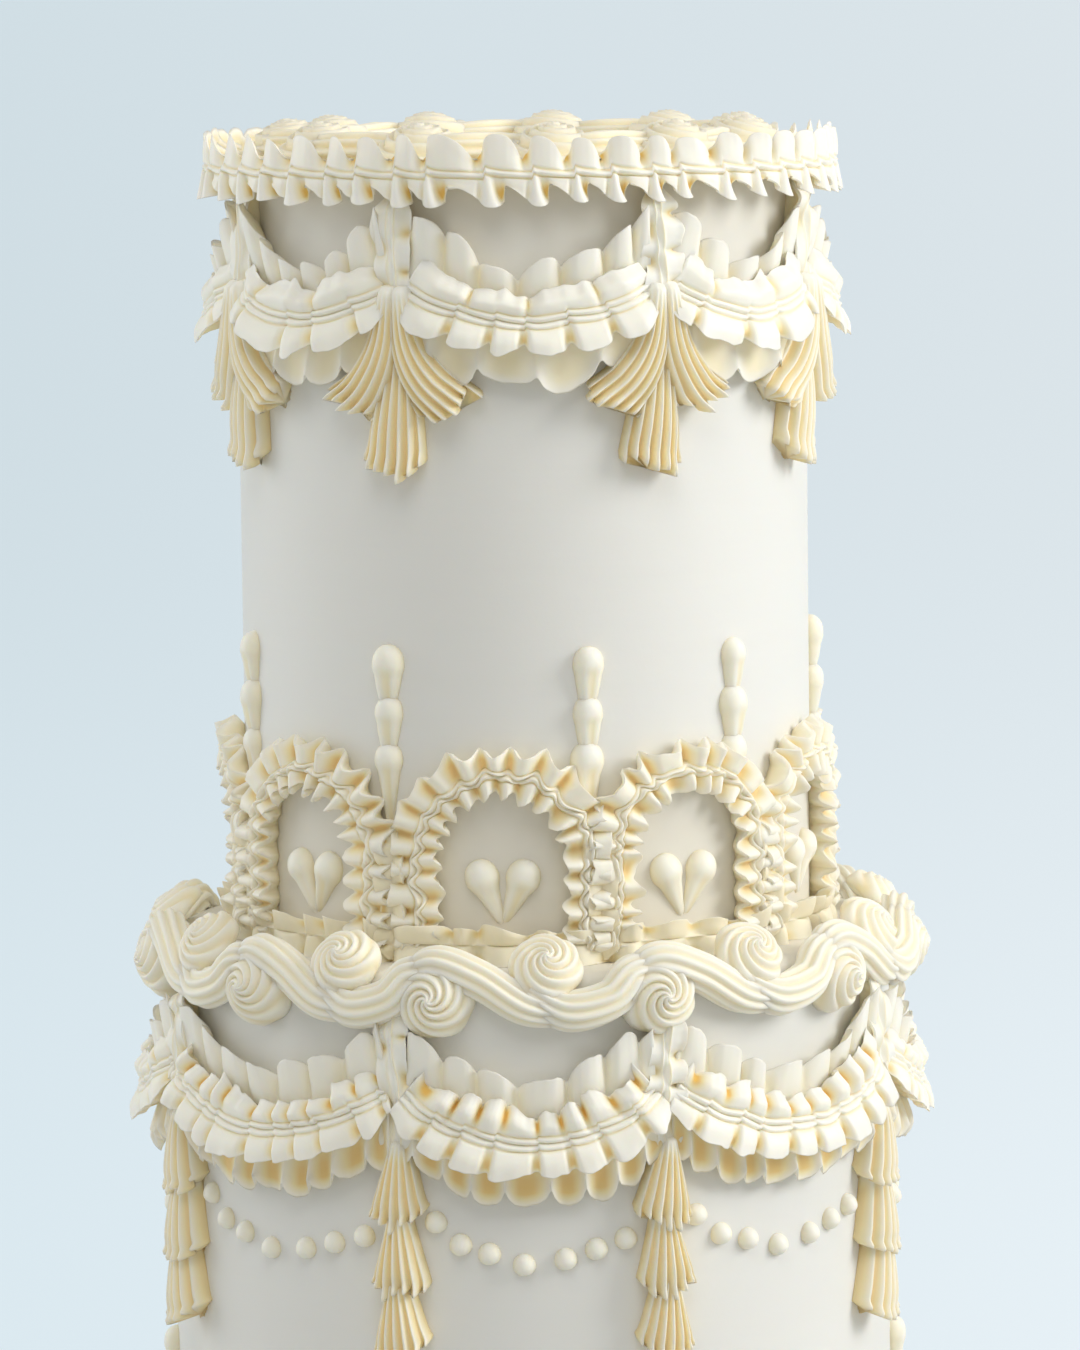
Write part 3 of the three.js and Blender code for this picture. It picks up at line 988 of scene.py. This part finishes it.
def archStroke(radius, angle, floor, seed):
    half, crown, foot = archLook["vein"], archLook["crown"], archLook["foot"]
    straight = crown - half - foot
    turns = np.linspace(0, math.pi, archLook["crownSteps"])
    middle, steps = arc(radius, angle), archLook["legSteps"]
    legUp = np.linspace(0, straight, steps + 1)[:-1]
    s = np.concatenate([np.full(steps, -half), -half * np.cos(turns), np.full(steps, half)])
    z = np.concatenate([legUp, straight + half * np.sin(turns), legUp[::-1]])
    at, length = curveOf(middle + s, floor + foot + z)

    def place(u, across, out):
        ps, pz = at(u, across)
        return onWall(radius, ps, out, np.maximum(pz, floor + 0.3))

    return frill(place, length, archLook["frill"], seed)


# The crumpled bit of frill that fills the gap between an arch and the next, painted all over with warm
# shade.
gapLook = {
    "pitch": 9,
    "shapes": ("puff", "puff"),
    "offset": (0.0, 0.45),
    "width": (3.8, 3.8),
    "swing": (1.3, 1.3),
    "slant": (0.08, 0.08),
    "lip": (0.8, 0.8),
    "lumps": 0.5,
    "vein": 5.0,
    "ridge": 0,
    "thick": 1.6,
    "fill": (0.55, 0.95),
    "pace": 0.4,
    "vary": (0.4, 0.4),
    "foldShade": 0.9,
    "deep": 1.2,
    "warmShade": 0.3,
    "height": 36,
}


def gapStroke(radius, angle, floor, seed):
    middle, height = arc(radius, angle), gapLook["height"]

    def place(u, across, out):
        return onWall(radius, middle + across, out, floor + 0.3 + u)

    return frill(place, height, gapLook, seed)


for level, radius, floor in tiers:
    arches = cake[level + "Arches"]
    for i, (angle, other) in enumerate(pairsOf(arches)):
        made = [
            archStroke(radius, angle, floor, 7 * i + floor),
            gapStroke(radius, (angle + other) / 2, floor, 5 * i + floor + 1),
        ]
        pipe(f"{level} arch {i + 1}", made)
print("arches piped")


# A round drop of icing whose tail is drawn out; it lies on the wall, head at the top.
def dropStroke(radius, head, tail, half, reach, crease=0.0, taper=0.6, bow=1.5):
    rows, sides = 18, 20
    head, tail = np.array(head, float), np.array(tail, float)
    axis = tail - head
    length = np.hypot(*axis)
    axis = axis / length
    side = np.array([-axis[1], axis[0]])
    t = np.linspace(0, 1, rows)[:, None]
    along = -half + (length + half) * t**1.35
    ball = np.sqrt(np.clip(1 - (along / half) ** 2, 0, 1))
    tailWide = 0.95 * (1 - taper * np.clip(along / length, 0, 1) ** bow) * smooth(along, -half, half * 0.5)
    wide = (ball**6 + tailWide**6) ** (1 / 6) * half
    wide[0] = wide[-1] = 0
    turn = np.linspace(0, 2 * math.pi, sides + 1)[None, :]
    across = wide * np.cos(turn)
    rise = np.sin(turn)
    furrow = np.exp(-(((across / half - 0.15) / 0.25) ** 2)) * (rise > 0)
    out = reach / half * wide * np.where(rise > 0, rise, rise * 0.25)
    out = out - crease * furrow * smooth(along, -half / 2, half)
    s = head[0] + axis[0] * along + side[0] * across
    z = head[1] + axis[1] * along + side[1] * across
    points = onWall(radius, s, out - 0.2, z)
    points[:, -1] = points[:, 0]
    # Painted shade under each drop and in its crease.
    under = 0.35 * (1 - np.clip(rise, 0, 1))
    depth = np.maximum(under, 0.5 * crease * furrow * smooth(along, 0, half))
    return stroke(points, depth)


# Each column's heads and tails from the top, and how much each tail narrows.
dropLook = {
    "heads": (86.5, 73, 60),
    "lengths": (12.5, 12, 21),
    "tapers": ((0.5, 1.8), (0.5, 1.8), (0.82, 1.0)),
    "half": 4.3,
    "reach": 4.3,
    "crease": 0.8,
}


def dropColumn(radius, angle, floor, seed):
    s = arc(radius, angle)
    drops = []
    for k, head in enumerate(dropLook["heads"]):
        size = 1 + 0.08 * math.sin(seed * 1.7 + k * 2.1)
        top = (s + 0.4 * math.sin(seed + k), floor + head - dropLook["half"])
        end = (s, top[1] - dropLook["lengths"][k])
        half, reach = dropLook["half"] * size, dropLook["reach"] * size
        drops.append(dropStroke(radius, top, end, half, reach, dropLook["crease"], *dropLook["tapers"][k]))
    return drops


heartLook = {"spread": 5.8, "top": 23.8, "tip": 10.2, "half": 4.7, "reach": 4.4, "taper": (0.8, 1.0)}


def heartLobes(radius, angle, floor):
    s = arc(radius, angle)
    lobes = []
    for side in (-1, 1):
        head = (s + side * heartLook["spread"], floor + heartLook["top"])
        tip = (s + side * 0.2, floor + heartLook["tip"])
        crease = 0.3 if side < 0 else 0.7
        size, reach, taper = heartLook["half"], heartLook["reach"], heartLook["taper"]
        lobes.append(dropStroke(radius, head, tip, size, reach, crease, *taper))
    return lobes


beadLook = {
    "half": 3.1,
    "reach": 3.4,
    "span": 40,
    "places": (-14.8, -11, -6.6, -1.3, 5, 9.7, 14.3),
    "heights": (132, 126, 123.6, 120.6, 122, 124.5, 127),
}


def beadRow(start, end):
    radius = cake["lowerRadius"]
    middle, spread = (start + end) / 2, (end - start) / beadLook["span"]
    row = []
    for place, height in zip(beadLook["places"], beadLook["heights"]):
        s = arc(radius, middle + place * spread)
        half = beadLook["half"]
        row.append(dropStroke(radius, (s, height), (s + 0.6, height - half), half, beadLook["reach"]))
    return row


for level, radius, floor in tiers:
    strokes = [d for i, a in enumerate(cake[level + "Columns"]) for d in dropColumn(radius, a, floor, i)]
    pipe(f"{level} drops", strokes, f"{level}_tier")
    strokes = [lobe for a in cake[level + "Arches"] for lobe in heartLobes(radius, a, floor)]
    pipe(f"{level} hearts", strokes, f"{level}_tier")
pillars = cake["lowerPillars"]
strokes = [bead for a, b in pairsOf(pillars) for bead in beadRow(a, b)]
pipe("beads", strokes, "lower_tier")
print("drops, hearts and beads piped")


# A star-nozzle strand along a line of points round the cake, given as angle, reach and height.
def strand(route, thick, turns=0.0, rows=40, warmShade=0.0):
    lobes, perLobe = 10, 7
    t = np.linspace(0, 1, rows)
    line = np.stack([softLine(t, values) for values in zip(*route)], axis=-1)
    turn = np.radians(line[:, 0])
    centre = np.stack([line[:, 1] * np.sin(turn), -line[:, 1] * np.cos(turn), line[:, 2]], axis=-1)
    heading = np.gradient(centre, axis=0)
    heading /= np.linalg.norm(heading, axis=-1, keepdims=True)
    outward = np.stack([np.sin(turn), -np.cos(turn), 0 * turn], axis=-1)
    outward -= (outward * heading).sum(-1, keepdims=True) * heading
    outward /= np.linalg.norm(outward, axis=-1, keepdims=True)
    side = np.cross(heading, outward)
    size = softLine(t, thick)[:, None]
    around = np.linspace(0, 2 * math.pi, lobes * perLobe + 1)[None, :]
    crest = np.abs(np.cos(lobes * around / 2)) ** 1.4
    wide = size * (0.78 + 0.22 * crest)
    angle = around + 2 * math.pi * turns * t[:, None]
    points = (
        centre[:, None, :]
        + outward[:, None, :] * (wide * np.cos(angle))[..., None]
        + side[:, None, :] * (wide * np.sin(angle))[..., None]
    )
    points[:, -1] = points[:, 0]
    for end in (0, -1):
        points[end] = points[end].mean(axis=0)
    # Painted shade in the grooves between the lobes, over a base of painted warm shade.
    return stroke(points, warmShade + (1 - crest) * 0.25 + 0 * size)


# A swirl of piped ridges that winds in to a star-shaped peak; it faces along its normal.
def rosette(angle, radius, height, size, rise, tilt, arms=6, winds=0.75, spin=0.0, peak=0.25, warmShade=0.0):
    rings, sides = 24, 60
    rho = np.concatenate([np.linspace(0, 1, rings), [0.96, 0.0]])[:, None]
    theta = np.linspace(0, 2 * math.pi, sides + 1)[None, :]
    phase = arms * (theta + spin) / (2 * math.pi) - arms * winds * rho**0.8
    crest = np.abs(np.cos(math.pi * phase)) ** 1.3
    dome = np.sqrt(np.clip(1 - rho**2.4, 0, 1)) * (1 - peak) + peak * np.clip(1 - rho, 0, 1)
    groove = size * 0.16 * smooth(rho, 0.0, 0.25)
    up = rise * dome - groove * (1 - crest) * np.sqrt(np.clip(dome, 0, 1)) * 1.2
    reach = size * rho * (1 + 0.07 * (crest - 0.5) * smooth(rho, 0.5, 1))
    up[-2:] = -rise * 0.25
    local = np.stack([reach * np.cos(theta), reach * np.sin(theta), up + 0 * theta], axis=-1)
    # Turned from facing up to facing out: tilt 0 faces out, 90 faces up.
    lift = math.radians(tilt)
    x = local[..., 0]
    y = -local[..., 2] * math.cos(lift) + local[..., 1] * math.sin(lift)
    z = local[..., 2] * math.sin(lift) + local[..., 1] * math.cos(lift)
    y = y - radius
    z = z + height
    turn = math.radians(angle)
    points = np.stack(
        [x * math.cos(turn) - y * math.sin(turn), x * math.sin(turn) + y * math.cos(turn), z], axis=-1
    )
    points[:, -1] = points[:, 0]
    points[0] = points[0].mean(axis=0)
    points[-1] = points[-1].mean(axis=0)
    # Painted shade in the grooves between the ridges, over a base of painted warm shade.
    depth = warmShade + (1 - crest) * 0.3 * smooth(rho, 0.05, 0.3)
    return stroke(points, depth)


# The points of a strand, from its table of shares of the span, reaches and heights.
def routed(start, span, table):
    return [(start + span * share, reach, height) for share, reach, height in table]


ledgeLook = {
    "strands": (
        ((-0.14, 104.5, 198), (0, 104, 202.5), (0.2, 104.5, 199), (0.42, 105.5, 191.5), (0.66, 105, 190)),
        ((0.4, 105, 196), (0.58, 106, 190.5), (0.78, 106.5, 193.5), (0.88, 105, 200), (1, 103.5, 202)),
    ),
    "thick": (3.0, 5.6, 5.6, 5.2, 3.0),
    "turns": 0.12,
    "low": {"radius": 103.5, "height": 193.5, "size": 10.8, "rise": 10.5, "tilt": 4},
    "high": {"radius": 101, "height": 201.5, "size": 10.0, "rise": 7.5, "tilt": 40},
    # A faint base of painted warm shade on the rope and rosettes.
    "warmShade": 0.03,
}


def ledgeStrokes():
    low, warmShade = cake["lowRosettes"], ledgeLook["warmShade"]
    strokes = []
    for i, (a, b) in enumerate(pairsOf(low)):
        for table in ledgeLook["strands"]:
            route = routed(a, b - a, table)
            strokes.append(strand(route, ledgeLook["thick"], turns=ledgeLook["turns"], warmShade=warmShade))
        strokes.append(rosette(a, **ledgeLook["low"], spin=0.4 * i, warmShade=warmShade))
    for i, angle in enumerate(cake["highRosettes"]):
        strokes.append(rosette(angle, **ledgeLook["high"], spin=0.7 * i, warmShade=warmShade))
    return strokes


pipe("ledge rope", ledgeStrokes())

footLook = {
    "strand": ((0, 107, 9.5), (0.3, 107, 8), (0.6, 107, 6.8), (0.9, 107, 8.5)),
    "thick": (4, 6.4, 6.2, 4),
    "rows": 32,
    "rosette": {"radius": 103, "height": 7.8, "size": 8.6, "rise": 9.0, "tilt": 4},
}


def footStrokes():
    crests = roundOf([cake["lowRosettes"][0]], 11)
    strokes = []
    for i, (a, b) in enumerate(pairsOf(crests)):
        route = routed(a, b - a, footLook["strand"])
        strokes.append(strand(route, footLook["thick"], rows=footLook["rows"]))
        strokes.append(rosette(a, **footLook["rosette"], spin=0.5 * i))
    return strokes


pipe("foot rope", footStrokes(), "base_border")

topLook = {
    "strand": ((0, 67, 420), (0.3, 68, 420), (0.6, 62, 420), (1, 64, 420)),
    "thick": (4, 5.6, 5.6, 4),
    "rows": 30,
    "place": {"radius": 64, "height": 415, "tilt": 80},
    "swirl": {"size": 13.6, "rise": 13.4, "arms": 2, "winds": 3, "peak": 0.1},
    # The swirls on top take a base of painted warm shade.
    "warmShade": 0.14,
}


def topStrokes():
    crests = roundOf([8], 11)
    warmShade = topLook["warmShade"]
    strokes = []
    for i, (a, b) in enumerate(pairsOf(crests)):
        route = routed(a, b - a, topLook["strand"])
        strokes.append(strand(route, topLook["thick"], rows=topLook["rows"], warmShade=warmShade))
        strokes.append(rosette(a, **topLook["place"], **topLook["swirl"], spin=0.6 * i, warmShade=warmShade))
    return strokes


pipe("top scroll", topStrokes(), "top_rosettes")

ribbonLook = {
    "pitch": 11.5,
    "perPleat": 15,
    "width": (4.4, 6.4),
    "swing": (3.0, 2.6),
    "lead": 1.8,
    "lip": (2.4, 0.0),
    "slant": (0.3, 0.0),
    "flare": (0.2, 0.2),
    "vein": 5.2,
    "ridge": 0,
    "waver": 0,
    "thick": 1.6,
    "opens": 0.25,
    "pace": 0.4,
    "vary": (0.6, 0.2),
    "foldShade": 0.7,
    "deep": 1.2,
    # The ribbon takes a base of painted warm shade.
    "warmShade": 0.22,
    "middle": 5.4,
    "depths": (0.4, 9.4),
}


def ribbonRing():
    radius, ledge = cake["upperRadius"], cake["ledge"]

    def place(u, across, out):
        height = np.maximum(ledge + ribbonLook["middle"] + across, ledge - 0.2)
        return onWall(radius, u, np.clip(out, *ribbonLook["depths"]), height)

    return frill(place, 2 * math.pi * radius, ribbonLook, 31, closed=True)


pipe("ledge ribbon", [ribbonRing()], "upper_base_ruffle")
print("ropes and rosettes piped")


stageLook = {
    "floor": (0.20, 0.22, 0.24, 1),
    "leftGlow": (0.515, 0.605, 0.650, 1),
    "rightGlow": (0.590, 0.655, 0.690, 1),
    "frontGlow": (0.38, 0.37, 0.34, 1),
    "world": (0.84, 0.83, 0.80, 1),
    "worldStrength": 0.52,
    "lens": 179.7,
    "distance": 1898.6,
    "height": 477,
    "side": 3.86,
    "pitch": 6.22,
    "roll": 0.7,
    "glowEdge": 0.3,
    "glowTurn": 0.08,
    "glowReach": 1.9,
}


# The floor glows cool and bright behind the cake, and warmer and dimmer in front of it.
def newFloor():
    deselect()
    bpy.ops.mesh.primitive_plane_add(size=400, location=(0, 0, -0.0002))
    floor = bpy.context.object
    bpy.ops.object.transform_apply(location=True, rotation=False, scale=False)
    floor.name = "floor"
    material = bpy.data.materials.new("pale floor")
    material.use_nodes = True
    tree = material.node_tree
    shader = tree.nodes["Principled BSDF"]
    start = Amount(tree, None)
    place = start.node("ShaderNodeTexCoord", None, None, 3)
    across = start.node("ShaderNodeSeparateXYZ", None, {0: place}, 0)
    depth = start.node("ShaderNodeSeparateXYZ", None, {0: place}, 1)
    behind = shareOf(start, depth, 0.0, stageLook["glowEdge"])
    aside = across / (depth + stageLook["glowReach"])
    right = shareOf(start, aside, -stageLook["glowTurn"], stageLook["glowTurn"])
    far = blend(start, right, stageLook["leftGlow"], stageLook["rightGlow"])
    glow = blend(start, behind, stageLook["frontGlow"], far)
    tree.links.new(glow.socket, shader.inputs["Emission Color"])
    shader.inputs["Emission Strength"].default_value = 1
    shader.inputs["Base Color"].default_value = stageLook["floor"]
    shader.inputs["Roughness"].default_value = 0.9
    floor.data.materials.append(material)


lights = {
    "key": {"turn": 78, "lift": 24, "away": 2.2, "size": 1.2, "power": 31, "colour": (1.0, 0.99, 0.97)},
    "fill": {"turn": -112, "lift": 14, "away": 2.4, "size": 1.8, "power": 17, "colour": (0.97, 0.99, 1.0)},
    "above": {"turn": -6, "lift": 52, "away": 2.2, "size": 1.4, "power": 11.5, "colour": (1, 0.995, 0.98)},
}


# A round soft lamp that looks at the cake from an angle round it and above the horizon.
def newLight(name, turn, lift, away, size, power, colour):
    data = bpy.data.lights.new(name, "AREA")
    data.shape = "DISK"
    data.size = size
    data.energy = power
    data.color = colour
    lamp = bpy.data.objects.new(name, data)
    bpy.context.scene.collection.objects.link(lamp)
    turn, lift = math.radians(turn), math.radians(lift)
    way = Vector((math.sin(turn) * math.cos(lift), -math.cos(turn) * math.cos(lift), math.sin(lift)))
    lamp.location = way * away + Vector((0, 0, 0.25))
    lamp.rotation_euler = way.to_track_quat("Z", "Y").to_euler()


def newCamera():
    data = bpy.data.cameras.new("camera")
    camera = bpy.data.objects.new("camera", data)
    bpy.context.scene.collection.objects.link(camera)
    data.lens = stageLook["lens"]
    data.sensor_fit = "AUTO"
    data.sensor_width = 36
    data.clip_start = 0.01
    data.clip_end = 500
    camera.location = (stageLook["side"] * mm, -stageLook["distance"] * mm, stageLook["height"] * mm)
    level = Matrix.Rotation(math.radians(90 - stageLook["pitch"]), 4, "X")
    roll = Matrix.Rotation(math.radians(-stageLook["roll"]), 4, "Z")
    camera.rotation_euler = (level @ roll).to_euler()
    bpy.context.scene.camera = camera


newFloor()
world = bpy.data.worlds.new("studio")
bpy.context.scene.world = world
world.use_nodes = True
world.node_tree.nodes["Background"].inputs["Color"].default_value = stageLook["world"]
world.node_tree.nodes["Background"].inputs["Strength"].default_value = stageLook["worldStrength"]
for name, light in lights.items():
    newLight(name, **light)
newCamera()
bpy.context.scene.view_settings.view_transform = "Standard"
print("stage lit")
